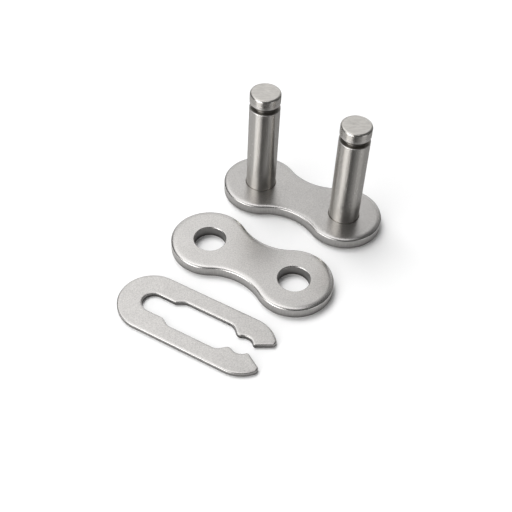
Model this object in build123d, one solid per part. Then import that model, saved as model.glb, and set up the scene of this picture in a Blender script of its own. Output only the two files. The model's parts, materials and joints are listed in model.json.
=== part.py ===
from build123d import *
import math
import os

# Roller chain connecting link, taken apart and laid out on a flat surface:
# the pin plate with its two pins standing up, then the loose cover plate and the spring clip.
# Millimetres, +Z up, X along the pin plate from the left pin to the right pin.

# Chain sizes
pitch = 15.875                # from pin to pin
inner_link_width = 14.22      # across the inner link that the pins carry
side_play = 0.20              # left between the inner link and the plates

# Plates, alike in outline
plate_thickness = 2.03
plate_height = 12.72          # across a round end
waist_height = 8.20           # across the waist
plate_roll_reach = 0.95       # rolled upper edges, where the blanking punch entered: along the face
plate_roll_drop = 0.36        # and down the wall
plate_break = 0.16            # broken lower edges
hole_chamfer = 0.12

# Pins
pin_diameter = 5.08
pin_end_rounding = 0.34
pin_head_length = 1.86        # from the groove to the free end
groove_diameter = 3.45
groove_width = 0.95
groove_chamfer = 0.08
rivet_spread = 0.34           # how far the peened end spreads past the shank, on each side
rivet_depth = 0.46            # depth of the countersink that it fills
rivet_proud = 0.13            # how far it stands below the plate
rivet_break = 0.07

# Cover plate
cover_hole_play = 0.10        # on the diameter

# Spring clip
clip_play = 0.10              # in the width of the groove
clip_width = 10.84
clip_end_reach = 0.30         # centre of the round back end, behind the centre of the slot
clip_shoulder_reach = 0.12    # centre of the shoulders, behind the centre of the seat
clip_tip_width = 0.71         # flat of a cut tip, before its corners are rounded
clip_roll_reach = 0.28        # rolled upper edges: along the face
clip_roll_drop = 0.16         # and down the wall
clip_break = 0.09             # broken lower edges
slot_play = 0.15              # the closed slot, on the groove's diameter
slot_length = 2.90            # from the centre of the slot to the step
step_slope = 31.0             # degrees
window_play = 0.24            # the window, on the pin's diameter
ramp_slope = 43.5             # degrees, from the window down to the seat
seat_inner_angle = 39.5       # where the seat starts on its circle, from the axis
seat_outer_angle = 28.0       # where it ends
mouth_slope = 31.0            # degrees
step_corner_rounding = 0.30
step_blend = 1.60
ramp_blend = 1.80
inner_tooth_rounding = 0.80
outer_tooth_rounding = 0.38
tip_rounding = 0.38

# Edges
roll_step = 30.0              # degrees from one flat of a rolled or rounded edge to the next
cutter_margin = 0.05          # how far an edge cutter stands clear of what it cuts

# Layout on the surface
cover_gap = 4.05              # between the pin plate and the cover plate
cover_shift = -0.85           # along X, from the pin plate's middle
cover_turn = -3.16            # degrees
clip_gap = 3.12               # between the cover plate and the clip
clip_shift = -2.27            # along X, from the pin plate's middle to the clip's
clip_turn = -1.40             # degrees

# Sizes that follow
plate_end_radius = plate_height / 2
pin_radius = pin_diameter / 2
groove_radius = groove_diameter / 2
rivet_radius = pin_radius + rivet_spread
plate_top = rivet_proud + plate_thickness
groove_floor = plate_top + inner_link_width + side_play + plate_thickness
groove_roof = groove_floor + groove_width
pin_top = groove_roof + pin_head_length
cover_hole_radius = (pin_diameter + cover_hole_play) / 2
clip_thickness = groove_width - clip_play
clip_half = clip_width / 2
slot_radius = (groove_diameter + slot_play) / 2
window_half = (pin_diameter + window_play) / 2


def plate_outline():
    """Two round ends joined by waist arcs that are tangent to them."""
    reach = pitch / 2
    drop = (plate_height - waist_height) / 2
    waist_centre = (reach**2 - drop**2) / (2 * drop)
    waist_radius = waist_centre - waist_height / 2
    turn = math.degrees(math.atan2(waist_centre, -reach))
    lean = math.degrees(math.atan2(reach, waist_centre))
    with BuildSketch() as outline:
        with BuildLine():
            CenterArc((reach, 0), plate_end_radius, -turn, 2 * turn)
            CenterArc((0, waist_centre), waist_radius, -90 + lean, -2 * lean)
            CenterArc((-reach, 0), plate_end_radius, 180 - turn, 2 * turn)
            CenterArc((0, -waist_centre), waist_radius, 90 + lean, -2 * lean)
        make_face()
    return outline.sketch


def round_edge(reach, drop, step_angle=roll_step):
    """A quarter round from the wall up to the face: (out of the wall, off the face) from the sharp edge."""
    flats = round(90 / step_angle)
    turns = [math.radians(90 * flat / flats) for flat in range(flats + 1)]
    return [(reach * (math.cos(a) - 1), drop * (math.sin(a) - 1)) for a in turns]


def straight_edge(size):
    """An edge broken by one flat."""
    return [(0, -size), (-size, 0)]


def cut_rims(blank, face, edge):
    """Bring every rim of one flat face to the form of this edge."""
    drop = edge[0][1]
    reach = edge[-1][0]
    section = edge + [(reach, cutter_margin), (cutter_margin, cutter_margin), (cutter_margin, drop)]
    off = face.normal_at()
    for rim in face.wires():
        start = rim.position_at(0)
        out = rim.tangent_at(0).cross(off)
        if blank.is_inside(start + (out - off) * cutter_margin):
            out = -out
        with BuildSketch(Plane(origin=start, x_dir=out, z_dir=out.cross(off))) as cutter:
            with BuildLine():
                Polyline(*section, close=True)
            make_face()
        blank -= sweep(cutter.sketch, path=rim)
    return blank


def blanked(outline, thickness, upper_edge, lower_edge):
    """A sheet part punched to an outline, lying on z = 0, with every rim of both faces brought to form."""
    blank = extrude(outline, thickness)
    blank = cut_rims(blank, blank.faces().sort_by(Axis.Z)[-1], upper_edge)
    return cut_rims(blank, blank.faces().sort_by(Axis.Z)[0], lower_edge)


def plate_blank():
    """A plate without holes."""
    rolled = round_edge(plate_roll_reach, plate_roll_drop)
    return blanked(plate_outline(), plate_thickness, rolled, straight_edge(plate_break))


def pin_solid():
    """A turned pin: peened lower end, shank, clip groove and rounded free end."""
    rounding = round_edge(pin_end_rounding, pin_end_rounding)
    free_end = [(pin_radius + out, pin_top + up) for out, up in rounding]
    with BuildSketch(Plane.XZ) as profile:
        with BuildLine():
            Polyline(
                (0, 0),
                (rivet_radius - rivet_break, 0),
                (rivet_radius, rivet_break),
                (rivet_radius, rivet_proud),
                (pin_radius, rivet_proud + rivet_depth),
                (pin_radius, groove_floor - groove_chamfer),
                (pin_radius - groove_chamfer, groove_floor),
                (groove_radius, groove_floor),
                (groove_radius, groove_roof),
                (pin_radius - groove_chamfer, groove_roof),
                (pin_radius, groove_roof + groove_chamfer),
                *free_end,
                (0, pin_top),
                close=True,
            )
        make_face()
    return revolve(profile.sketch, Axis.Z)


def pin_hole():
    """What the pin plate loses for one pin: a bore, its countersink and its chamfer."""
    with BuildSketch(Plane.XZ) as profile:
        with BuildLine():
            Polyline(
                (0, rivet_proud),
                (rivet_radius, rivet_proud),
                (pin_radius, rivet_proud + rivet_depth),
                (pin_radius, plate_top - hole_chamfer),
                (pin_radius + hole_chamfer, plate_top),
                (0, plate_top),
                close=True,
            )
        make_face()
    return revolve(profile.sketch, Axis.Z)


def pin_plate_solid():
    plate = Pos(0, 0, rivet_proud) * plate_blank()
    for side in (-1, 1):
        plate -= Pos(side * pitch / 2, 0, 0) * pin_hole()
    return plate


def cover_hole():
    """What the cover plate loses for one hole: a bore with a chamfer at each end."""
    with BuildSketch(Plane.XZ) as profile:
        with BuildLine():
            Polyline(
                (0, 0),
                (cover_hole_radius + hole_chamfer, 0),
                (cover_hole_radius, hole_chamfer),
                (cover_hole_radius, plate_thickness - hole_chamfer),
                (cover_hole_radius + hole_chamfer, plate_thickness),
                (0, plate_thickness),
                close=True,
            )
        make_face()
    return revolve(profile.sketch, Axis.Z)


def cover_plate_solid():
    plate = plate_blank()
    for side in (-1, 1):
        plate -= Pos(side * pitch / 2, 0, 0) * cover_hole()
    return plate


def clip_tip():
    """Where the shoulder's arc leaves the mouth just the tip's width: (x, half the mouth's width)."""
    outer = math.radians(seat_outer_angle)
    spread = math.tan(math.radians(mouth_slope))
    lip_x = pitch + groove_radius * math.cos(outer)
    lip_y = groove_radius * math.sin(outer)
    shoulder_x = pitch - clip_shoulder_reach
    base = lip_y + clip_tip_width - (lip_x - shoulder_x) * spread
    square = 1 + spread**2
    reach = (math.sqrt(clip_half**2 * square - base**2) - base * spread) / square
    tip_x = shoulder_x + reach
    return tip_x, lip_y + (tip_x - lip_x) * spread


def clip_opening():
    """One side of what is punched out of the clip, from slot to mouth, and its corner roundings."""
    step_end = slot_length + (window_half - slot_radius) / math.tan(math.radians(step_slope))
    inner = math.radians(seat_inner_angle)
    outer = math.radians(seat_outer_angle)
    tooth_x = pitch - groove_radius * math.cos(inner)
    tooth_y = groove_radius * math.sin(inner)
    ramp_start = tooth_x - (window_half - tooth_y) / math.tan(math.radians(ramp_slope))
    half = [
        (slot_length, slot_radius),
        (step_end, window_half),
        (ramp_start, window_half),
        (tooth_x, tooth_y),
        (pitch + groove_radius * math.cos(outer), groove_radius * math.sin(outer)),
        clip_tip(),
    ]
    rounding = [
        step_corner_rounding,
        step_blend,
        ramp_blend,
        inner_tooth_rounding,
        outer_tooth_rounding,
        tip_rounding,
    ]
    return half, rounding


def clip_outline():
    """The clip's outline from above: slot centre at the origin, mouth towards +X."""
    half, rounding = clip_opening()
    tip_x, mouth_y = clip_tip()
    mirrored = [(x, -y) for x, y in reversed(half)]
    shoulder_x = pitch - clip_shoulder_reach
    with BuildSketch() as outline:
        with Locations((-clip_end_reach, 0), (shoulder_x, 0)):
            Circle(clip_half)
        with Locations(((shoulder_x - clip_end_reach) / 2, 0)):
            Rectangle(shoulder_x + clip_end_reach, clip_width)
        with Locations((tip_x + clip_half / 2, 0)):
            Rectangle(clip_half, clip_width, mode=Mode.SUBTRACT)
        Circle(slot_radius, mode=Mode.SUBTRACT)
        with Locations((slot_length / 2, 0)):
            Rectangle(slot_length, 2 * slot_radius, mode=Mode.SUBTRACT)
        Polygon(*half, *mirrored, align=None, mode=Mode.SUBTRACT)
        with Locations((pitch, 0)):
            Circle(groove_radius, mode=Mode.SUBTRACT)
        corners = list(zip(half, rounding)) + [((tip_x, mouth_y + clip_tip_width), tip_rounding)]
        for (x, y), radius in corners:
            for side in (-1, 1):
                corner = outline.vertices().sort_by_distance((x, side * y, 0))[0]
                fillet(corner, radius)
    return outline.sketch


def spring_clip_solid():
    rolled = round_edge(clip_roll_reach, clip_roll_drop)
    return blanked(clip_outline(), clip_thickness, rolled, straight_edge(clip_break))


def laid_out():
    """Every piece where it lies, with the pin plate's middle at x = 0, y = 0."""
    cover_y = -(2 * plate_end_radius + cover_gap)
    clip_y = cover_y - (plate_end_radius + clip_gap + clip_half)
    cover_place = Pos(cover_shift, cover_y, 0) * Rot(0, 0, cover_turn)
    clip_place = Pos(clip_shift, clip_y, 0) * Rot(0, 0, clip_turn) * Pos(-pitch / 2, 0, 0)
    return {
        "pin_plate": pin_plate_solid(),
        "pin_left": Pos(-pitch / 2, 0, 0) * pin_solid(),
        "pin_right": Pos(pitch / 2, 0, 0) * pin_solid(),
        "cover_plate": cover_place * cover_plate_solid(),
        "spring_clip": clip_place * spring_clip_solid(),
    }


def main():
    pieces = laid_out()
    box = Compound(list(pieces.values())).bounding_box()
    centre = box.center()
    to_origin = Pos(-centre.X, -centre.Y, -box.min.Z)
    os.makedirs("parts", exist_ok=True)
    for name, solid in pieces.items():
        export_step(to_origin * solid, f"parts/{name}.step")


main()
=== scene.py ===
import bpy
import json
import math
import numpy as np
from mathutils import Matrix, Vector
from mathutils.geometry import delaunay_2d_cdt


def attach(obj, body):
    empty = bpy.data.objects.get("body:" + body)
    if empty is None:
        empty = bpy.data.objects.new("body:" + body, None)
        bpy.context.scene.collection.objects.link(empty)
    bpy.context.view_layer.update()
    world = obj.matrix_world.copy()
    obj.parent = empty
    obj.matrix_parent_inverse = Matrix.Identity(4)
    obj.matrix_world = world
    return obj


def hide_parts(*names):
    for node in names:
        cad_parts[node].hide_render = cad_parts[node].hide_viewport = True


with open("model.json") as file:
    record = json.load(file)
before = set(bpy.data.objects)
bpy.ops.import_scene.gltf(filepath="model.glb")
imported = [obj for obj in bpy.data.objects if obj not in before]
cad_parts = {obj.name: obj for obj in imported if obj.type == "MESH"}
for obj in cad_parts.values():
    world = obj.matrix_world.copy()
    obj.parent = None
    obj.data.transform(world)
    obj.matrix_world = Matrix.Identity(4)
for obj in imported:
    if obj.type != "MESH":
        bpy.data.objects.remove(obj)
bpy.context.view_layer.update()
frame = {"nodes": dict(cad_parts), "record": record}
mountAt = {m["name"]: Vector(m["pos_m"]) for m in frame["record"]["mounts"]}
metres = 0.001  # shapes are worked out in millimetres, and set down in metres
print("frame loaded:", ", ".join(sorted(frame["nodes"])))


class Wire:
    # a socket that can be added, multiplied and so on; each step adds its node
    def __init__(self, tree, socket=None):
        self.tree = tree
        self.socket = socket

    def make(self, kind, settings=None, values=None, out=0):
        # any node: its settings first, then the values or wires of its sockets
        node = self.tree.nodes.new(kind)
        for key, value in (settings or {}).items():
            setattr(node, key, value)
        for key, value in (values or {}).items():
            if isinstance(value, Wire):
                self.tree.links.new(value.socket, node.inputs[key])
            else:
                node.inputs[key].default_value = value
        return Wire(self.tree, node.outputs[out]) if len(node.outputs) else None

    def calc(self, operation, other=None, swapped=False):
        if other is None:
            values = {0: self}
        else:
            values = {0: other, 1: self} if swapped else {0: self, 1: other}
        return self.make("ShaderNodeMath", {"operation": operation}, values)

    def __add__(self, other):
        return self.calc("ADD", other)

    def __radd__(self, other):
        return self.calc("ADD", other, True)

    def __sub__(self, other):
        return self.calc("SUBTRACT", other)

    def __rsub__(self, other):
        return self.calc("SUBTRACT", other, True)

    def __mul__(self, other):
        return self.calc("MULTIPLY", other)

    def __rmul__(self, other):
        return self.calc("MULTIPLY", other, True)

    def __truediv__(self, other):
        return self.calc("DIVIDE", other)

    def __rtruediv__(self, other):
        return self.calc("DIVIDE", other, True)

    def between(self, low, high):
        # 0 below low, 1 above high, smooth in between
        settings = {"interpolation_type": "SMOOTHSTEP"}
        return self.make("ShaderNodeMapRange", settings, {"Value": self, "From Min": low, "From Max": high})

    def held(self):
        # kept between 0 and 1
        return self.make("ShaderNodeMapRange", {}, {"Value": self, "From Min": 0.0, "From Max": 1.0})

    def wrapped(self, low, high):
        return self.make("ShaderNodeMath", {"operation": "WRAP"}, {0: self, 1: high, 2: low})

    def mixColours(self, first, second):
        # a Mix node's colours are its sockets 6 and 7, and come out of its socket 2
        settings = {"data_type": "RGBA"}
        return self.make("ShaderNodeMix", settings, {0: self, 6: first, 7: second}, 2)

    def stretch(self, scale):
        # coordinates times a scale for each axis
        settings = {"operation": "MULTIPLY"}
        return self.make("ShaderNodeVectorMath", settings, {0: self, 1: scale})

    def turned(self, degrees):
        values = {"Vector": self, "Angle": math.radians(degrees)}
        return self.make("ShaderNodeVectorRotate", {"rotation_type": "Z_AXIS"}, values)

    def noise(self, scale, detail, roughness):
        values = {"Vector": self, "Scale": scale, "Detail": detail, "Roughness": roughness}
        return self.make("ShaderNodeTexNoise", {}, values)


def newShader(name):
    material = bpy.data.materials.new(name)
    material.use_nodes = True
    tree = material.node_tree
    tree.nodes.clear()
    return material, Wire(tree)


def pieceFacts(start, *names):
    # the numbers that the mesh carries at each of its points
    return [start.make("ShaderNodeAttribute", {"attribute_name": name}, out="Fac") for name in names]


def pieceMillimetres(start):
    # where a point lies on its piece
    return start.make("ShaderNodeTexCoord", out="Object").stretch((1 / metres, 1 / metres, 1 / metres))


def scaled(colour, share):
    return tuple(part * share for part in colour) + (1,)


class Run:
    # one straight or round stretch of an outline, walked with the metal on the left
    def __init__(self, start, end, centre=None, turn=0):
        self.start = np.array(start, float)
        self.end = np.array(end, float)
        self.centre = None if centre is None else np.array(centre, float)
        self.turn = turn  # 1 anticlockwise, -1 clockwise
        self.radius = 0 if centre is None else float(np.linalg.norm(self.start - self.centre))

    def gap(self, point):
        if self.centre is not None:
            return float(np.linalg.norm(point - self.centre)) - self.radius
        along = (self.end - self.start) / np.linalg.norm(self.end - self.start)
        away = point - self.start
        return float(along[0] * away[1] - along[1] * away[0])

    def foot(self, point):
        if self.centre is not None:
            away = point - self.centre
            return self.centre + away / np.linalg.norm(away) * self.radius
        along = (self.end - self.start) / np.linalg.norm(self.end - self.start)
        return self.start + along * ((point - self.start) @ along)

    def sweepAngle(self):
        a = math.atan2(*(self.start - self.centre)[::-1])
        b = math.atan2(*(self.end - self.centre)[::-1])
        return a, (b - a) % (2 * math.pi) if self.turn > 0 else -((a - b) % (2 * math.pi))

    def walk(self, step, bend):
        # points, outward normals and the room inward of an outward corner, without the last point
        endless = 99  # room where no arc is in the way
        if self.centre is None:
            length = np.linalg.norm(self.end - self.start)
            count = max(1, math.ceil(length / step))
            share = np.arange(count)[:, None] / count
            along = (self.end - self.start) / length
            points = self.start + share * (self.end - self.start)
            return np.hstack([points, np.tile([along[1], -along[0], endless], (count, 1))])
        a, sweep = self.sweepAngle()
        count = max(2, math.ceil(abs(sweep) / min(bend, step / self.radius)))
        angles = a + sweep * np.arange(count) / count
        ring = np.stack([np.cos(angles), np.sin(angles)], 1)
        room = self.radius if self.turn > 0 else endless
        return np.hstack([self.centre + self.radius * ring, self.turn * ring, np.full((count, 1), room)])


def roundCorner(first, second, radius):
    # the arc that blends two runs: found by a few Newton steps from the inside of the corner
    corner = first.end
    near = min(0.25, radius)  # how far along each run its heading is taken
    backwards, forwards = first.start - corner, second.end - corner
    back = first.foot(corner + backwards * near / np.linalg.norm(backwards)) - corner
    ahead = second.foot(corner + forwards * near / np.linalg.norm(forwards)) - corner
    middle = back / np.linalg.norm(back) + ahead / np.linalg.norm(ahead)
    point = corner + middle / np.linalg.norm(middle) * radius
    want = np.array([math.copysign(radius, first.gap(point)), math.copysign(radius, second.gap(point))])
    tiny = 1e-5
    for _ in range(12):
        here = np.array([first.gap(point), second.gap(point)]) - want
        slope = np.zeros((2, 2))
        for axis in (0, 1):
            moved = point.copy()
            moved[axis] += tiny
            slope[:, axis] = (np.array([first.gap(moved), second.gap(moved)]) - want - here) / tiny
        point = point - np.linalg.solve(slope, here)
    start, end = first.foot(point), second.foot(point)
    turn = 1 if np.cross(start - point, end - point) > 0 else -1
    return Run(start, end, point, turn)


def outlineOf(runs, roundings, step, bend):
    # runs in order, and the rounding at the end of each: 0 where the next one is tangent;
    # step is the longest stretch between points in millimetres, and bend the widest in radians
    corners = [roundCorner(run, runs[(i + 1) % len(runs)], r) if r else None
               for i, (run, r) in enumerate(zip(runs, roundings))]
    pieces = []
    for i, run in enumerate(runs):
        before, after = corners[i - 1], corners[i]
        start = run.start if before is None else before.end
        end = run.end if after is None else after.start
        pieces.append(Run(start, end, run.centre, run.turn).walk(step, bend))
        if after is not None:
            pieces.append(after.walk(step, bend))
    return np.vstack(pieces)


def holeOutline(centre, radius, step, bend):
    start = (centre[0] + radius, centre[1])
    half = (centre[0] - radius, centre[1])
    return outlineOf([Run(start, half, centre, -1), Run(half, start, centre, -1)], [0, 0], step, bend)


def edgeSection(thickness, roll, breakEdge):
    # from the lower face's rim up the wall to the upper face's rim: out, up, normal out, normal up
    # a blanking press draws the upper edge down in a quarter of an ellipse, which is tight at its foot
    reach, drop = roll["reach"], roll["drop"]
    top = thickness - drop
    wallShares = (0.3, 0.6, 0.85)
    leans = (0, 18, 34, 47, 57, 65, 71, 76, 80, 84, 87, 90)  # degrees, closer where the ellipse is flat
    rows = []
    for a in np.radians(np.linspace(-90, 0, 5)):
        rows.append((breakEdge * (math.cos(a) - 1), breakEdge * (1 + math.sin(a)), math.cos(a), math.sin(a)))
    for share in wallShares:
        rows.append((0, breakEdge + share * (top - breakEdge), 1, 0))
    for lean in np.radians(leans):
        a = math.atan2(drop * math.sin(lean), reach * math.cos(lean))
        rows.append((reach * (math.cos(a) - 1), top + drop * math.sin(a), math.cos(lean), math.sin(lean)))
    return np.array(rows)


def ripple(points, height, seed):
    # slow unevenness of a rolled sheet, with its slope: long sines in a few directions
    draw = np.random.default_rng(seed)
    lift, slope = np.zeros(len(points)), np.zeros((len(points), 2))
    longest, others = 11.0, (7.3, 4.9, 3.1)  # millimetres
    for length in (longest, *others):
        heading = draw.uniform(0, 2 * math.pi)
        wave = np.array([math.cos(heading), math.sin(heading)]) * 2 * math.pi / length
        phase = points @ wave + draw.uniform(0, 2 * math.pi)
        size = height * length / longest
        lift += size * np.sin(phase)
        slope += size * np.cos(phase)[:, None] * wave
    return lift, slope


def inside(points, loops):
    # even-odd test against every loop
    found = np.zeros(len(points), bool)
    for loop in loops:
        a, b = loop, np.roll(loop, -1, 0)
        for (ax, ay), (bx, by) in zip(a, b):
            crosses = (ay > points[:, 1]) != (by > points[:, 1])
            with np.errstate(divide="ignore", invalid="ignore"):
                at = (bx - ax) * (points[:, 1] - ay) / (by - ay) + ax
            found ^= crosses & (points[:, 0] < at)
    return found


def fillFace(loops, spacing):
    # triangles over a flat face with holes, on an even grid
    edges, start = [], 0
    for loop in loops:
        edges += [(start + i, start + (i + 1) % len(loop)) for i in range(len(loop))]
        start += len(loop)
    rim = np.vstack(loops)
    low, high = rim.min(0), rim.max(0)
    rows = np.arange(low[1], high[1], spacing * math.sqrt(0.75))
    grid = np.array([(x + (i % 2) * spacing / 2, y) for i, y in enumerate(rows)
                     for x in np.arange(low[0], high[0], spacing)])
    grid = grid[inside(grid, loops)]
    apart = np.sqrt(((grid[:, None, :] - rim[None, :, :]) ** 2).sum(2)).min(1)
    nearest = 0.6  # any nearer the rim, and they would make slivers
    grid = grid[apart > spacing * nearest]
    points = np.vstack([rim, grid])
    allTriangles, touching = 0, 1e-7
    made = delaunay_2d_cdt([Vector(p) for p in points], edges, [], allTriangles, touching)
    places = np.array([tuple(v) for v in made[0]])
    source = [found[0] if found else -1 for found in made[3]]
    triangles = [tuple(face) for face in made[2]]
    middles = np.array([places[list(face)].mean(0) for face in triangles])
    kept = inside(middles, loops)
    triangles = [tuple(source[v] for v in face) for face, keep in zip(triangles, kept) if keep]
    return grid, triangles


def setDown(name, points, normals, faces, place, facts):
    # a smooth mesh in the shared frame, with its own normals and one number a point for each fact
    mesh = bpy.data.meshes.new(name)
    turned = place.to_3x3().normalized()
    mesh.from_pydata([place @ Vector(p * metres) for p in points], [], faces)
    mesh.shade_smooth()
    mesh.update()
    mesh.normals_split_custom_set_from_vertices([turned @ Vector(n).normalized() for n in normals])
    for fact, numbers in facts.items():
        layer = mesh.attributes.new(fact, "FLOAT", "POINT")
        layer.data.foreach_set("value", np.array(numbers, np.float32))
    piece = bpy.data.objects.new(name, mesh)
    bpy.context.scene.collection.objects.link(piece)
    return piece


def shutIn(outlines, reach):
    # how far each point of a wall is hemmed in by other walls: 0 in the open, towards 1 in a small hole; it
    # masks the painted shade in holes
    headings = np.radians((-60, -30, 0, 30, 60))
    clear, parallel = 0.02, 1e-9
    starts = np.vstack([outline[:, :2] for outline in outlines])
    ends = np.vstack([np.roll(outline[:, :2], -1, 0) for outline in outlines])
    shares = []
    for outline in outlines:
        free = np.zeros(len(outline))
        for turn in headings:
            spin = np.array([[math.cos(turn), -math.sin(turn)], [math.sin(turn), math.cos(turn)]])
            way = outline[:, 2:4] @ spin.T
            here = outline[:, :2] + way * clear
            side, gap = ends - starts, starts[None] - here[:, None]
            cross = way[:, None, 0] * side[None, :, 1] - way[:, None, 1] * side[None, :, 0]
            cross = np.where(np.abs(cross) < parallel, parallel, cross)
            away = (gap[..., 0] * side[:, 1] - gap[..., 1] * side[:, 0]) / cross
            share = (gap[..., 0] * way[:, None, 1] - gap[..., 1] * way[:, None, 0]) / cross
            away = np.where((away > 0) & (share >= 0) & (share <= 1), away, reach)
            free += np.minimum(away.min(1), reach) / reach / len(headings)
        shares.append(1 - free)
    return shares


def narrowed(outline, travel, width):
    # the share of its width that a rolled edge keeps at each point: less round tight outward corners
    usedRoom, level, widening = 0.8, 0.15, 0.9  # share of the room, then millimetres, then a millimetre
    fits = np.minimum(1, usedRoom * outline[:, 4] / max(width, 1e-6))
    length = travel[-1] + np.linalg.norm(outline[0, :2] - outline[-1, :2])
    apart = np.abs(travel[:, None] - travel[None, :])
    apart = np.minimum(apart, length - apart)
    return (fits[None, :] + np.maximum(0, apart - level) * widening).min(1)


def sheetPart(name, outlines, sections, place, look):
    # a blanked part: a wall round every outline, and both faces filled; its points carry
    # cut (how upright), along (travel round the outline), level (height share) and hemmed
    points, normals, faces, upper, lower = [], [], [], [], []
    cut, along, level, hemmed = [], [], [], []
    base = 0
    for outline, section, shut in zip(outlines, sections, shutIn(outlines, look["hemReach"])):
        count, levels = len(outline), len(section)
        steps = np.linalg.norm(np.roll(outline[:, :2], -1, 0) - outline[:, :2], axis=1)
        travel = np.concatenate([[0], np.cumsum(steps)[:-1]])
        share = travel / steps.sum() * 2 * math.pi
        # three long and seven short waves round the outline
        waves = 0.6 * np.sin(3 * share + 0.7) + 0.4 * np.sin(7 * share + 2.1)
        uneven = 1 + look["uneven"] * waves
        uneven *= narrowed(outline, travel, -section[-1, 0])
        top = section[-1, 1]
        for out, up, normalOut, normalUp in section:
            isRolled = normalUp > 0 and out < 0
            grow = uneven if isRolled else np.ones(count)
            ring = outline[:, :2] + outline[:, 2:4] * (out * grow)[:, None]
            points.append(np.column_stack([ring, np.full(count, up)]))
            normals.append(np.column_stack([outline[:, 2:4] * normalOut, np.full(count, normalUp)]))
            cut.append(np.full(count, 1 - abs(normalUp)))
            along.append(travel)
            level.append(np.full(count, up / top))
            hemmed.append(shut * (1 - abs(normalUp)))
        for row in range(levels - 1):
            for i in range(count):
                a, b = base + row * count + i, base + row * count + (i + 1) % count
                faces.append((a, b, b + count, a + count))
        lower.append(np.arange(base, base + count))
        upper.append(np.arange(base + (levels - 1) * count, base + levels * count))
        base += levels * count
    points, normals = np.vstack(points), np.vstack(normals)
    facts = np.vstack([np.concatenate(fact) for fact in (cut, along, level, hemmed)])
    for rims, facing in ((upper, 1), (lower, -1)):
        ids = np.concatenate(rims)
        grid, triangles = fillFace([points[r, :2] for r in rims], look["grid"])
        first, height = len(points), points[ids[0], 2]
        points = np.vstack([points, np.column_stack([grid, np.full(len(grid), height)])])
        normals = np.vstack([normals, np.tile([0, 0, facing], (len(grid), 1))])
        facts = np.hstack([facts, np.tile([[0], [0], [max(facing, 0)], [0]], (1, len(grid)))])
        index = np.concatenate([ids, np.arange(first, first + len(grid))])
        faces += [tuple(int(index[v]) for v in (face if facing > 0 else face[::-1])) for face in triangles]
    lift, slope = ripple(points[:, :2], look["ripple"], look["seed"])
    isUpper = np.clip(points[:, 2] / sections[0][-1, 1], 0, 1) ** 2
    points[:, 2] += lift * isUpper - look["ripple"] * 2 * isUpper
    normals[:, :2] -= slope * (isUpper * (normals[:, 2] > 0))[:, None]
    return setDown(name, points, normals, faces, place, dict(zip(("cut", "along", "level", "hemmed"), facts)))


def turnedPart(name, profile, around, place):
    # a lathe part from (radius, height, normal out, normal up, zone) rows, first and last on the axis
    faces = []
    angles = 2 * math.pi * np.arange(around) / around
    ring = np.stack([np.cos(angles), np.sin(angles)], 1)
    inner = profile[1:-1]
    points = [np.array([[0, 0, profile[0, 1]]])]
    normals = [np.array([[0, 0, -1.0]])]
    zone = [np.array([profile[0, 4]])]
    for radius, height, normalOut, normalUp, kind in inner:
        points.append(np.column_stack([ring * radius, np.full(around, height)]))
        normals.append(np.column_stack([ring * normalOut, np.full(around, normalUp)]))
        zone.append(np.full(around, kind))
    points.append(np.array([[0, 0, profile[-1, 1]]]))
    normals.append(np.array([[0, 0, 1.0]]))
    zone.append(np.array([profile[-1, 4]]))
    points, normals, zone = np.vstack(points), np.vstack(normals), np.concatenate(zone)
    last = len(points) - 1
    for i in range(around):
        j = (i + 1) % around
        faces.append((0, 1 + j, 1 + i))
        for level in range(len(inner) - 1):
            a, b = 1 + level * around + i, 1 + level * around + j
            faces.append((a, b, b + around, a + around))
        top = 1 + (len(inner) - 1) * around
        faces.append((top + i, top + j, last))
    return setDown(name, points, normals, faces, place, {"zone": zone})


def latheRows(corners):
    # corners as (radius, height, rounding, zone of the stretch after it), to profile rows with round corners
    rows = []
    for i, (radius, height, rounding, zone) in enumerate(corners):
        here = np.array([radius, height])
        if i in (0, len(corners) - 1):
            rows.append((radius, height, 0, -1 if i == 0 else 1, zone))
            continue
        before = np.array(corners[i - 1][:2]) - here
        after = np.array(corners[i + 1][:2]) - here
        before, after = before / np.linalg.norm(before), after / np.linalg.norm(after)
        if not rounding:  # a mark on a straight stretch, where the zone changes
            rows.append((*here, after[1], -after[0], zone))
            continue
        half = math.acos(max(-1, min(1, float(before @ after)))) / 2
        reach = rounding / math.tan(half)
        start, end = here + before * reach, here + after * reach
        middle = before + after
        centre = here + middle / np.linalg.norm(middle) * rounding / math.sin(half)
        isOutward = np.cross(-before, after) > 0
        a = math.atan2(*(start - centre)[::-1])
        sweep = (math.atan2(*(end - centre)[::-1]) - a + math.pi) % (2 * math.pi) - math.pi
        flat = 0.2  # radians that one step of a rounding turns
        steps = max(3, int(abs(sweep) / flat) + 1)
        for k in range(steps + 1):
            angle = a + sweep * k / steps
            way = np.array([math.cos(angle), math.sin(angle)])
            normal = way if isOutward else -way
            kind = corners[i - 1][3] if k * 2 < steps else zone
            rows.append((*(centre + way * rounding), *normal, kind))
    return np.array(rows)


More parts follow.
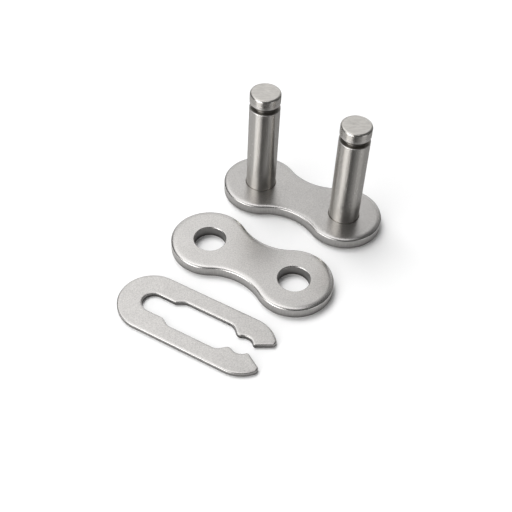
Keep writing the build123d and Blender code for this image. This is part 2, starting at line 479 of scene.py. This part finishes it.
steel = {
    "colour": (0.59, 0.575, 0.56),
    "rollColour": (0.68, 0.665, 0.65),
    "cutColour": (0.39, 0.380, 0.370),
    "roughness": 0.31,
    "rollRoughness": 0.25,
    "cutRoughness": 0.45,
    "grain": 5.0,               # grains in a millimetre
    "grainHeight": 0.004,       # millimetres
    "grainStrength": 0.35,
    "grainContrast": 1.5,
    "rollPolish": 1.1,          # what a rolled edge loses of it
    "mottle": 0.35,             # patches in a millimetre
    "mottleContrast": 0.4,
    "unevenness": (0.08, 0.10),  # of the roughness, from the patches and from the grain
    "hair": (2.2, 14.0, 1.0),   # tumbling scratches in a millimetre, along each axis
    "relief": (0.7, 0.3, 1.2),  # shares of pits, scratches, and streaks on a wall
    "streaks": (4.0, 1.2),      # on a wall: in a millimetre round it, and in its height
    "wallCut": (0.80, 0.99),    # how upright: where a rolled edge turns into a wall
    "rollCut": (0.004, 0.05),   # and where a face starts to roll over
    "brightCut": (0.86, 1.18),  # shares of the wall's colour where it was sheared
    "dullCut": (0.66, 0.94),    # and where it broke away
    "tornLevel": (0.62, 0.30),  # share of the height: sheared above, torn below
    "tornEdge": 0.5,            # how far streaks move that line
    "hemmedIn": (0.08, 0.34),   # how shut in a wall is where its painted shade starts, and where it is full
    "hemmedShade": 0.42,        # what is left of the colour under the painted shade deep in a small hole
    "hemmedTop": 0.30,          # how much less of that painted shade there is at the top
    "footShadeLevel": 0.34,          # how high the painted shade sits at the foot of a wall, where it meets the table
    "footShadeRise": 0.3,            # how much higher in a hole
    "footShade": 0.40,          # what is left of the colour under that painted shade
    "cornerShadeLevel": 0.5,         # how high a deeper painted shade reaches at the foot of a hole
    "cornerShade": 0.08,
}


def tumbledSteel(name, finish):
    # blanked and tumbled sheet: even satin faces with a fine grain, and a greyer sheared wall, with painted
    # shade at the foot of every wall and deep in small holes
    material, start = newShader(name)
    here = pieceMillimetres(start)
    cut, along, level, hemmed = pieceFacts(start, "cut", "along", "level", "hemmed")
    lengthways, upwards = steel["streaks"]
    wallPlace = start.make("ShaderNodeCombineXYZ", {}, {"X": along * lengthways, "Y": level * upwards})
    mottle = here.noise(steel["mottle"], 3, 0.55)
    speckle = here.noise(steel["grain"] * finish["grain"], 2, 0.6)
    streak = wallPlace.noise(1.0, 3, 0.6)
    pits = here.noise(steel["grain"] * 2, 3, 0.65)
    hair = here.stretch(steel["hair"]).noise(1.0, 2, 0.5)
    wall = cut.between(*steel["wallCut"])
    roll = cut.between(*steel["rollCut"]) * (1 - wall)

    contrast = steel["grainContrast"] - roll * steel["rollPolish"]
    patch = (speckle - 0.5) * contrast + (mottle - 0.5) * steel["mottleContrast"] + 0.5
    dark = scaled(steel["colour"], finish["tone"] * (1 - finish["spread"]))
    light = scaled(steel["colour"], finish["tone"] * (1 + finish["spread"]))
    face = patch.mixColours(dark, light)
    face = roll.mixColours(face, scaled(steel["rollColour"], finish["tone"]))

    bare = scaled(steel["cutColour"], finish["cutTone"])[:3]
    bright = streak.mixColours(*[scaled(bare, share) for share in steel["brightCut"]])
    dull = streak.mixColours(*[scaled(bare, share) for share in steel["dullCut"]])
    torn = (level + (streak - 0.5) * steel["tornEdge"]).between(*steel["tornLevel"])
    # painted shade in small holes and slots, where the walls shade each other
    paintedHoleShade = hemmed.between(*steel["hemmedIn"]) * (1 - level * steel["hemmedTop"])
    # painted shade: the foot of each wall is darkened where it meets the table, a little higher in holes
    foot = level.between(hemmed * steel["footShadeRise"] + steel["footShadeLevel"], 0.0)
    # deeper painted shade at the foot of a small hole
    corner = paintedHoleShade * level.between(steel["cornerShadeLevel"], 0.0)
    sheared = torn.mixColours(bright, dull)
    sheared = paintedHoleShade.mixColours(sheared, scaled(bare, steel["hemmedShade"]))
    sheared = foot.mixColours(sheared, scaled(bare, steel["footShade"]))
    sheared = corner.mixColours(sheared, scaled(bare, steel["cornerShade"]))
    colour = wall.mixColours(face, sheared)

    byMottle, byGrain = steel["unevenness"]
    roughness = (mottle - 0.5) * byMottle + (speckle - 0.5) * byGrain + steel["roughness"]
    roughness = roughness + wall * (steel["cutRoughness"] - steel["roughness"])
    roughness = roughness + roll * (steel["rollRoughness"] - steel["roughness"])
    byPits, byHair, byStreak = steel["relief"]
    relief = pits * byPits + hair * byHair + wall * streak * byStreak
    bump = start.make("ShaderNodeBump", {}, {
        "Strength": steel["grainStrength"], "Distance": steel["grainHeight"] * metres, "Height": relief})
    surface = start.make("ShaderNodeBsdfPrincipled", {}, {
        "Base Color": colour, "Roughness": roughness, "Metallic": 1.0, "Normal": bump})
    start.make("ShaderNodeOutputMaterial", {}, {"Surface": surface})
    return material


pinSteel = {
    "colour": (0.66, 0.638, 0.606),
    "neckShadeColour": (0.34, 0.325, 0.305),
    "headLitColour": (0.77, 0.75, 0.725),
    "worn": 0.86,                 # share of the colour in the darker grain
    "headWorn": 0.8,
    "wear": 0.4,                  # how far the colour leans to the darker grain
    "roughness": 0.26,
    "faceRoughness": 0.31,
    "headRoughness": 0.40,
    "unevenness": 0.06,           # of the roughness
    "lengthways": 0.9,            # how much more the grinding rings spread a reflection along the pin
    "quarterTurn": 0.25,          # the spread runs across the rings
    "rings": (0.12, 0.12, 14.0),  # grinding rings in a millimetre, along each axis
    "ringContrast": 0.4,
    "ringRelief": 0.6,
    "drawn": (5.0, 5.0, 0.35),    # lines left by the drawn bar
    "drawnContrast": 0.7,
    "drawnRelief": 0.5,
    "sawn": (0.9, 5.0, 1.0),      # parting marks over the ends
    "sawnTurn": -25.7,            # degrees
    "sawnContrast": 5.0,
    "speckle": 4.0,
    "speckleContrast": (0.3, 0.9),  # everywhere, and what the ends have besides
    "satin": 7.0,
    "satinRelief": (0.15, 0.8),
    "grainHeight": 0.003,         # millimetres
    "grainStrength": 0.25,
}


def groundSteel(name):
    # centreless ground shank with fine rings round it, and satin ends
    material, start = newShader(name)
    here = pieceMillimetres(start)
    zone, = pieceFacts(start, "zone")
    end = zone.between(0.5, 1.0)
    neck = zone.between(1.5, 2.0)
    head = (zone * -1).between(0.5, 1.0)
    rings = here.stretch(pinSteel["rings"]).noise(1.0, 3, 0.6)
    drawn = here.stretch(pinSteel["drawn"]).noise(1.0, 3, 0.6)
    sawn = here.turned(pinSteel["sawnTurn"]).stretch(pinSteel["sawn"]).noise(1.0, 2, 0.5)
    speckle = here.noise(pinSteel["speckle"], 2, 0.6)
    satin = here.noise(pinSteel["satin"], 3, 0.65)

    everywhere, besides = pinSteel["speckleContrast"]
    shade = (speckle - 0.5) * (everywhere + end * besides)
    shade = shade + (rings - 0.5) * pinSteel["ringContrast"]
    shade = shade + (drawn - 0.5) * pinSteel["drawnContrast"] + pinSteel["wear"]
    shade = (shade + (sawn - 0.5) * end * pinSteel["sawnContrast"]).held()
    fresh, worn = scaled(pinSteel["colour"], 1.0), scaled(pinSteel["colour"], pinSteel["worn"])
    # painted light: the band round the head gets a lighter copy of the pin's colour, for the light it catches
    headFresh = scaled(pinSteel["headLitColour"], 1.0)
    headWorn = scaled(pinSteel["headLitColour"], pinSteel["headWorn"])
    body = head.mixColours(shade.mixColours(fresh, worn), shade.mixColours(headFresh, headWorn))
    # painted shade: the neck inside the groove is darkened where the head and the shank shade it
    colour = neck.mixColours(body, scaled(pinSteel["neckShadeColour"], 1.0))

    uneven = (speckle - 0.5) * pinSteel["unevenness"] + (drawn - 0.5) * pinSteel["unevenness"]
    roughness = uneven + pinSteel["roughness"]
    roughness = roughness + end * (pinSteel["faceRoughness"] - pinSteel["roughness"])
    roughness = roughness + head * (pinSteel["headRoughness"] - pinSteel["roughness"])
    everywhere, besides = pinSteel["satinRelief"]
    relief = (rings * pinSteel["ringRelief"] + drawn * pinSteel["drawnRelief"]) * (1 - end)
    relief = relief + satin * (end * besides + everywhere)
    bump = start.make("ShaderNodeBump", {}, {
        "Strength": pinSteel["grainStrength"], "Distance": pinSteel["grainHeight"] * metres,
        "Height": relief})
    common = {"Base Color": colour, "Roughness": roughness, "Metallic": 1.0, "Normal": bump}
    spread = {"Anisotropic": pinSteel["lengthways"], "Anisotropic Rotation": pinSteel["quarterTurn"]}
    shank = start.make("ShaderNodeBsdfPrincipled", {}, {**common, **spread})
    face = start.make("ShaderNodeBsdfPrincipled", {}, common)
    surface = start.make("ShaderNodeMixShader", {}, {0: end + head, 1: shank, 2: face})
    start.make("ShaderNodeOutputMaterial", {}, {"Surface": surface})
    return material


plate = {
    "pitch": 15.875,     # lengths are in millimetres
    "endRadius": 6.36,
    "waist": 8.20,
    "thickness": 2.03,
    "roll": {"reach": 0.95, "drop": 0.36},
    "breakEdge": 0.16,
    "holeChamfer": 0.12,
    "coverHole": 2.59,   # radius
    "pinHole": 2.545,    # radius
    "countersink": 0.46,
    "rivetSpread": 0.34,
    "rivetProud": 0.13,
    "uneven": 0.05,      # share of the rolled edge's width
    "ripple": 0.0012,
    "hemReach": 8.0,     # how far off another wall still adds painted shade to one
    "step": 0.16,        # between points of an outline
    "bend": 0.05,        # radians between points of an arc
    "holeBend": 0.09,
    "grid": 0.55,        # between points of a face
}
# the pin plate's darker tone and cutTone and the cover's lighter ones are painted shade and painted light on
# one and the same steel
pinPlateShadedSheet = {"grain": 1.0, "tone": 0.93, "spread": 0.26, "cutTone": 0.92, "seed": 3}
coverLitSheet = {"grain": 1.0, "tone": 1.06, "spread": 0.26, "cutTone": 0.96, "seed": 8}


def plateOutline():
    reach = plate["pitch"] / 2
    drop = plate["endRadius"] - plate["waist"] / 2
    waistCentre = (reach ** 2 - drop ** 2) / (2 * drop)
    span = math.hypot(reach, waistCentre)
    touchX = reach - plate["endRadius"] * reach / span
    touchY = plate["endRadius"] * waistCentre / span
    low, high = (0, -waistCentre), (0, waistCentre)
    runs = [
        Run((touchX, -touchY), (reach + plate["endRadius"], 0), (reach, 0), 1),
        Run((reach + plate["endRadius"], 0), (touchX, touchY), (reach, 0), 1),
        Run((touchX, touchY), (-touchX, touchY), high, -1),
        Run((-touchX, touchY), (-reach - plate["endRadius"], 0), (-reach, 0), 1),
        Run((-reach - plate["endRadius"], 0), (-touchX, -touchY), (-reach, 0), 1),
        Run((-touchX, -touchY), (touchX, -touchY), low, -1),
    ]
    return outlineOf(runs, [0] * len(runs), plate["step"], plate["bend"])


def holeSection(thickness, chamfer, countersink):
    # the wall of a punched hole, with soft chamfers: out, up, normal out, normal up;
    # a countersink is how far out and how deep it goes, or None
    slant = math.sqrt(0.5)
    lowOut, lowUp = (chamfer, chamfer) if countersink is None else countersink
    lowSlant = math.hypot(lowOut, lowUp)
    lowNormal = (lowUp / lowSlant, -lowOut / lowSlant)
    soft = chamfer * 0.3
    return np.array([
        (-lowOut, 0, 0.35, -0.94),
        (-lowOut * 0.85, lowUp * 0.15, *lowNormal),
        (-lowOut * 0.15, lowUp * 0.85, *lowNormal),
        (0, lowUp + soft, 1, 0),
        (0, (lowUp + thickness - chamfer) / 2, 1, 0),
        (0, thickness - chamfer - soft, 1, 0),
        (-chamfer * 0.12, thickness - chamfer * 0.88, slant * 1.2, slant * 0.7),
        (-chamfer * 0.5, thickness - chamfer * 0.45, slant, slant),
        (-chamfer * 0.9, thickness - chamfer * 0.1, slant * 0.7, slant * 1.2),
        (-chamfer * 1.25, thickness, 0, 1),
    ])


def makePlate(name, middle, turn, lift, holeRadius, countersink, seed, material):
    reach = plate["pitch"] / 2
    outlines = [plateOutline()]
    sections = [edgeSection(plate["thickness"], plate["roll"], plate["breakEdge"])]
    for side in (-1, 1):
        outlines.append(holeOutline((side * reach, 0), holeRadius, plate["step"], plate["holeBend"]))
        sections.append(holeSection(plate["thickness"], plate["holeChamfer"], countersink))
    place = Matrix.Translation((middle.x, middle.y, lift * metres)) @ Matrix.Rotation(turn, 4, "Z")
    piece = sheetPart(name, outlines, sections, place, {**plate, "seed": seed})
    piece.data.materials.append(material)
    return piece


def turnBetween(first, second):
    return math.atan2(second.y - first.y, second.x - first.x)


pinPlateSteel = tumbledSteel("tumbledPinPlateSteel", pinPlateShadedSheet)
coverSteel = tumbledSteel("tumbledCoverSteel", coverLitSheet)
pinMiddle = (mountAt["pin_left"] + mountAt["pin_right"]) / 2
countersink = (plate["rivetSpread"], plate["countersink"])
pinPlate = makePlate("pinPlate", pinMiddle, 0, plate["rivetProud"], plate["pinHole"], countersink,
                     pinPlateShadedSheet["seed"], pinPlateSteel)
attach(pinPlate, "root")
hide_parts("pin_plate")

coverMiddle = (mountAt["cover_bore_left"] + mountAt["cover_bore_right"]) / 2
coverTurn = turnBetween(mountAt["cover_bore_left"], mountAt["cover_bore_right"])
coverPlate = makePlate("coverPlate", coverMiddle, coverTurn, 0, plate["coverHole"], None,
                       coverLitSheet["seed"], coverSteel)
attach(coverPlate, "root")
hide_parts("cover_plate")
print("plates made")


pin = {
    "radius": 2.54,      # lengths are in millimetres
    "grooveRadius": 1.725,
    "grooveFloor": 18.61,
    "grooveWidth": 0.95,
    "top": 21.42,
    "endRounding": 0.36,
    "roundingLead": 0.06,  # from the plain shank to where the end's rounding starts
    "satinInset": 0.02,  # from there inwards the end is satin
    "grooveChamfer": 0.11,
    "grooveRoot": 0.08,  # roundings of the groove's corners, from its root outwards
    "grooveEdge": 0.03,
    "underGroove": 0.04,
    "overGroove": 0.06,
    "headRounding": 0.07,
    "softEdge": 0.05,    # of the hollow and the pip
    "crispEdge": 0.01,   # of the countersink
    "hollowRadius": 0.9,  # in the peened end, round the axis
    "hollowEdge": 1.15,
    "hollowDepth": 0.05,
    "shankRings": (3, 8, 13),
    "pipRadius": 0.42,   # shallow mark left by the lathe centre
    "pipEdge": 0.67,
    "pipDepth": 0.02,
    "around": 144,
}


def makePin(name, centre, material):
    radius, groove, floor = pin["radius"], pin["grooveRadius"], pin["grooveFloor"]
    roof, top, chamfer = pin["grooveFloor"] + pin["grooveWidth"], pin["top"], pin["grooveChamfer"]
    spread, proud = plate["rivetSpread"], plate["rivetProud"]
    soft, crisp, end = pin["softEdge"], pin["crispEdge"], pin["endRounding"]
    # zone 0 ground shank, 1 satin end, 2 inside the groove, -1 round the head
    corners = [
        (0, pin["hollowDepth"], 0, 1),
        (pin["hollowRadius"], pin["hollowDepth"], soft, 1),
        (pin["hollowEdge"], 0, soft, 1),
        (radius + spread, 0, pin["headRounding"], 1),
        (radius + spread, proud, crisp, 1),
        (radius, proud + plate["countersink"], crisp, 0),
        *((radius, height, 0, 0) for height in pin["shankRings"]),
        (radius, floor - chamfer, pin["underGroove"], -1),
        (radius - chamfer, floor, pin["grooveEdge"], 2),
        (groove, floor, pin["grooveRoot"], 2),
        (groove, roof, pin["grooveRoot"], 2),
        (radius - chamfer, roof, pin["grooveEdge"], 0),
        (radius, roof + chamfer, pin["overGroove"], -1),
        (radius, top - end - pin["roundingLead"], 0, 0),
        (radius, top, end, 0),
        (radius - end - pin["satinInset"], top, 0, 1),
        (pin["pipEdge"], top, soft, 1),
        (pin["pipRadius"], top - pin["pipDepth"], soft, 1),
        (0, top - pin["pipDepth"], 0, 1),
    ]
    place = Matrix.Translation((centre.x, centre.y, 0))
    piece = turnedPart(name, latheRows(corners), pin["around"], place)
    piece.data.materials.append(material)
    return piece


shankSteel = groundSteel("groundPinSteel")
for side in ("left", "right"):
    piece = makePin(f"{side}Pin", mountAt[f"pin_{side}"], shankSteel)
    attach(piece, "root")
    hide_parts(f"pin_{side}")
print("pins made")


clip = {
    "pitch": 15.875,     # lengths are in millimetres, slopes in degrees
    "half": 5.42,
    "thickness": 0.85,
    "endReach": 0.30,
    "shoulderReach": 0.12,
    "tipWidth": 0.71,
    "roll": {"reach": 0.38, "drop": 0.16},
    "breakEdge": 0.09,
    "slotRadius": 1.80,
    "slotLength": 2.90,
    "windowHalf": 2.66,
    "seatRadius": 1.725,
    "stepSlope": 31.0,
    "rampSlope": 43.5,
    "seatInner": 39.5,
    "seatOuter": 28.0,
    "mouthSlope": 31.0,
    "stepCorner": 0.30,
    "stepBlend": 1.60,
    "rampBlend": 1.80,
    "innerTooth": 0.80,
    "outerTooth": 0.38,
    "tipCorner": 0.38,
    "uneven": 0.06,
    "ripple": 0.0008,
    "hemReach": 8.0,
    "step": 0.22,
    "bend": 0.09,
    "grid": 0.5,
    "seed": 5,
}
clipSheet = {"grain": 1.1, "tone": 1.02, "spread": 0.28, "cutTone": 0.68}


def slopeOf(key):
    return math.tan(math.radians(clip[key]))


def clipOutline():
    pitch, half, slot = clip["pitch"], clip["half"], clip["slotRadius"]
    window, seat, spread = clip["windowHalf"], clip["seatRadius"], slopeOf("mouthSlope")
    inner, outer = math.radians(clip["seatInner"]), math.radians(clip["seatOuter"])
    shoulderX, backX = pitch - clip["shoulderReach"], -clip["endReach"]
    stepEnd = clip["slotLength"] + (window - slot) / slopeOf("stepSlope")
    tooth = (pitch - seat * math.cos(inner), seat * math.sin(inner))
    rampStart = tooth[0] - (window - tooth[1]) / slopeOf("rampSlope")
    lip = (pitch + seat * math.cos(outer), seat * math.sin(outer))
    base = lip[1] + clip["tipWidth"] - (lip[0] - shoulderX) * spread
    square = 1 + spread ** 2
    tipX = shoulderX + (math.sqrt(half ** 2 * square - base ** 2) - base * spread) / square
    mouthY = lip[1] + (tipX - lip[0]) * spread
    shoulder, seatCentre, origin = (shoulderX, 0), (pitch, 0), (0, 0)
    # lower leg from the back end to the seat and on to the closed slot, then the same mirrored
    runs = [
        Run((backX - half, 0), (backX, -half), (backX, 0), 1),
        Run((backX, -half), (shoulderX, -half)),
        Run((shoulderX, -half), (tipX, -mouthY - clip["tipWidth"]), shoulder, 1),
        Run((tipX, -mouthY - clip["tipWidth"]), (tipX, -mouthY)),
        Run((tipX, -mouthY), (lip[0], -lip[1])),
        Run((lip[0], -lip[1]), (tooth[0], -tooth[1]), seatCentre, -1),
        Run((tooth[0], -tooth[1]), (rampStart, -window)),
        Run((rampStart, -window), (stepEnd, -window)),
        Run((stepEnd, -window), (clip["slotLength"], -slot)),
        Run((clip["slotLength"], -slot), (0, -slot)),
        Run((0, -slot), (-slot, 0), origin, -1),
    ]
    roundings = [0, 0, clip["tipCorner"], clip["tipCorner"], clip["outerTooth"], clip["innerTooth"],
                 clip["rampBlend"], clip["stepBlend"], clip["stepCorner"], 0, 0]

    def mirrored(run):
        flip = np.array([1, -1])
        centre = None if run.centre is None else run.centre * flip
        return Run(run.end * flip, run.start * flip, centre, run.turn)

    runs += [mirrored(run) for run in reversed(runs)]
    roundings += roundings[-2::-1] + [0]
    return outlineOf(runs, roundings, clip["step"], clip["bend"])


slotEnd, seatPoint = mountAt["clip_slot_end"], mountAt["clip_seat"]
clipTurn = Matrix.Rotation(turnBetween(slotEnd, seatPoint), 4, "Z")
clipPlace = Matrix.Translation((slotEnd.x, slotEnd.y, 0)) @ clipTurn
clipSection = edgeSection(clip["thickness"], clip["roll"], clip["breakEdge"])
springClip = sheetPart("springClip", [clipOutline()], [clipSection], clipPlace, clip)
springClip.data.materials.append(tumbledSteel("tumbledClipSteel", clipSheet))
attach(springClip, "root")
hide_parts("spring_clip")
print("spring clip made")


studio = {
    "floorColour": (0.95, 0.95, 0.95, 1),
    "floorRadius": 0.45,          # metres
    "coveRadius": 0.15,
    "wallTop": 0.30,
    "wallGlow": (0.0, 0.05),      # metres up: where the cove starts to glow white, and where it is white
    "floorRings": (0.1, 0.25, 0.5, 0.75, 1),
    "coveStep": 7.5,              # degrees
    "floorSides": 96,
    "mirrored": (0.003, 0.006),   # metres: how far away the metal still mirrors the table
    "tableLamp": {"place": (-0.36, 0.18, 0.86), "size": 0.5, "power": 5.3},
    "front": -64.3,               # degrees: where the camera stands, counted from the X axis
    "brightness": 1.0,
    "gloom": 0.10,                # what the room gives where there is no soft box
    "softEdge": (1.4, 0.6),       # in half widths: where a box starts, and where it is at its full brightness
    # soft boxes: degrees round from the camera's side (left is negative) and up from the
    # horizon, half their width and height in degrees, and their brightness
    "boxes": {
        "overhead": {"turn": 0, "height": 90, "wide": 200, "tall": 15, "light": 1.0},
        "highLeftRear": {"turn": -130, "height": 60, "wide": 60, "tall": 20, "light": 1.25},
        "rear": {"turn": -175, "height": 25, "wide": 35, "tall": 15, "light": 0.65},
        "rightRear": {"turn": 145, "height": 30, "wide": 30, "tall": 20, "light": 0.16},
        "lowRear": {"turn": 175, "height": 0, "wide": 35, "tall": 20, "light": 0.25},
        "highFrontLeft": {"turn": -50, "height": 25, "wide": 25, "tall": 25, "light": 2.0},
        "frontStrip": {"turn": -38, "height": -5, "wide": 20, "tall": 15, "light": 3.4},
        "rightStrip": {"turn": 55, "height": -10, "wide": 15, "tall": 15, "light": 1.0},
        "underLeft": {"turn": -110, "height": -40, "wide": 50, "tall": 25, "light": 0.5},
        "underStrip": {"turn": -50, "height": -45, "wide": 15, "tall": 20, "light": 0.7},
        "underRight": {"turn": 90, "height": -45, "wide": 70, "tall": 20, "light": 0.3},
    },
}


def makeFloor():
    # a pale disc that curves up into a wall all round; the metal mirrors it where it is near,
    # and further off the soft boxes, so no light is kept out
    material, start = newShader("paleFloor")
    place = start.make("ShaderNodeTexCoord", out="Object")
    height = start.make("ShaderNodeSeparateXYZ", {}, {"Vector": place}, "Z")
    matte = start.make("ShaderNodeBsdfDiffuse", {}, {"Color": studio["floorColour"]})
    glow = start.make("ShaderNodeEmission", {}, {"Color": (1, 1, 1, 1), "Strength": 1.0})
    pale = start.make("ShaderNodeMixShader", {}, {0: height.between(*studio["wallGlow"]), 1: matte, 2: glow})
    isMirrored = start.make("ShaderNodeLightPath", out="Is Glossy Ray")
    away = start.make("ShaderNodeLightPath", out="Ray Length")
    isClear = isMirrored * away.between(*studio["mirrored"])
    clear = start.make("ShaderNodeBsdfTransparent")
    mixed = start.make("ShaderNodeMixShader", {}, {0: isClear, 1: pale, 2: clear})
    start.make("ShaderNodeOutputMaterial", {}, {"Surface": mixed})
    material.cycles.emission_sampling = "NONE"  # the wall is a backdrop, and lights nothing by itself
    flat, bend = studio["floorRadius"], studio["coveRadius"]
    rows = [(flat * share, 0.0) for share in studio["floorRings"]]
    for a in np.radians(np.arange(studio["coveStep"], 91, studio["coveStep"])):
        rows.append((flat + bend * math.sin(a), bend * (1 - math.cos(a))))
    rows.append((flat + bend, studio["wallTop"]))
    around, points, faces = studio["floorSides"], [Vector((0, 0, 0))], []
    for radius, height in rows:
        for i in range(around):
            a = 2 * math.pi * i / around
            points.append(Vector((radius * math.cos(a), radius * math.sin(a), height)))
    for i in range(around):
        j = (i + 1) % around
        faces.append((0, 1 + i, 1 + j))
        for level in range(len(rows) - 1):
            a, b = 1 + level * around + i, 1 + level * around + j
            faces.append((a, a + around, b + around, b))
    mesh = bpy.data.meshes.new("floor")
    mesh.from_pydata(points, [], faces)
    mesh.shade_smooth()
    mesh.materials.append(material)
    floor = bpy.data.objects.new("floor", mesh)
    bpy.context.scene.collection.objects.link(floor)
    for ray in ("diffuse", "transmission", "volume_scatter", "shadow"):
        setattr(floor, f"visible_{ray}", False)


def makeWorld():
    # soft boxes round and over the table, worked out from the direction alone
    world = bpy.data.worlds.new("studioWorld")
    world.use_nodes = True
    world.node_tree.nodes.clear()
    start = Wire(world.node_tree)
    way = start.make("ShaderNodeTexCoord", out="Generated")
    x, y, z = (start.make("ShaderNodeSeparateXYZ", {}, {"Vector": way}, axis) for axis in "XYZ")
    front = math.radians(studio["front"])
    ahead = x * math.cos(front) + y * math.sin(front)
    side = x * -math.sin(front) + y * math.cos(front)
    turn = side.calc("ARCTAN2", ahead) * (180 / math.pi)
    height = z.calc("ARCSINE") * (180 / math.pi)
    light = studio["gloom"]
    for box in studio["boxes"].values():
        aside = (turn - box["turn"]).wrapped(-180.0, 180.0)
        above = height - box["height"]
        across = (aside.calc("ABSOLUTE") / box["wide"]).between(*studio["softEdge"])
        upwards = (above.calc("ABSOLUTE") / box["tall"]).between(*studio["softEdge"])
        light = across * upwards * box["light"] + light
    glow = start.make("ShaderNodeBackground", {}, {"Color": light, "Strength": studio["brightness"]})
    start.make("ShaderNodeOutputWorld", {}, {"Surface": glow})
    bpy.context.scene.world = world


def makeTableLamp():
    # an even wash for the table alone: it is too wide and plain to leave a mark in the metal
    lamp = studio["tableLamp"]
    light = bpy.data.lights.new("tableLamp", "AREA")
    light.size, light.energy = lamp["size"], lamp["power"]
    holder = bpy.data.objects.new("tableLamp", light)
    holder.matrix_world = Vector(lamp["place"]).to_track_quat("Z", "Y").to_matrix().to_4x4()
    holder.location = lamp["place"]
    holder.visible_glossy = False
    bpy.context.scene.collection.objects.link(holder)


makeTableLamp()
makeFloor()
makeWorld()
print("studio lit")


camera = {
    "place": (0.044201, -0.091452, 0.113404),  # metres
    "yaw": 25.7124,      # degrees
    "pitch": 47.8135,    # below the horizon
    "roll": 3.1026,
    "lens": 65.358,      # millimetres
    "sensor": 36.0,
    "clip": (0.01, 10),  # metres
}


def makeCamera():
    lens = bpy.data.cameras.new("camera")
    lens.lens = camera["lens"]
    lens.sensor_width = camera["sensor"]
    lens.clip_start, lens.clip_end = camera["clip"]
    holder = bpy.data.objects.new("camera", lens)
    yaw = Matrix.Rotation(math.radians(camera["yaw"]), 4, "Z")
    pitch = Matrix.Rotation(math.radians(90 - camera["pitch"]), 4, "X")
    roll = Matrix.Rotation(math.radians(camera["roll"]), 4, "Z")
    holder.matrix_world = Matrix.Translation(camera["place"]) @ yaw @ pitch @ roll
    bpy.context.scene.collection.objects.link(holder)
    bpy.context.scene.camera = holder


makeCamera()
bpy.context.scene.view_settings.view_transform = "Standard"

print("done")
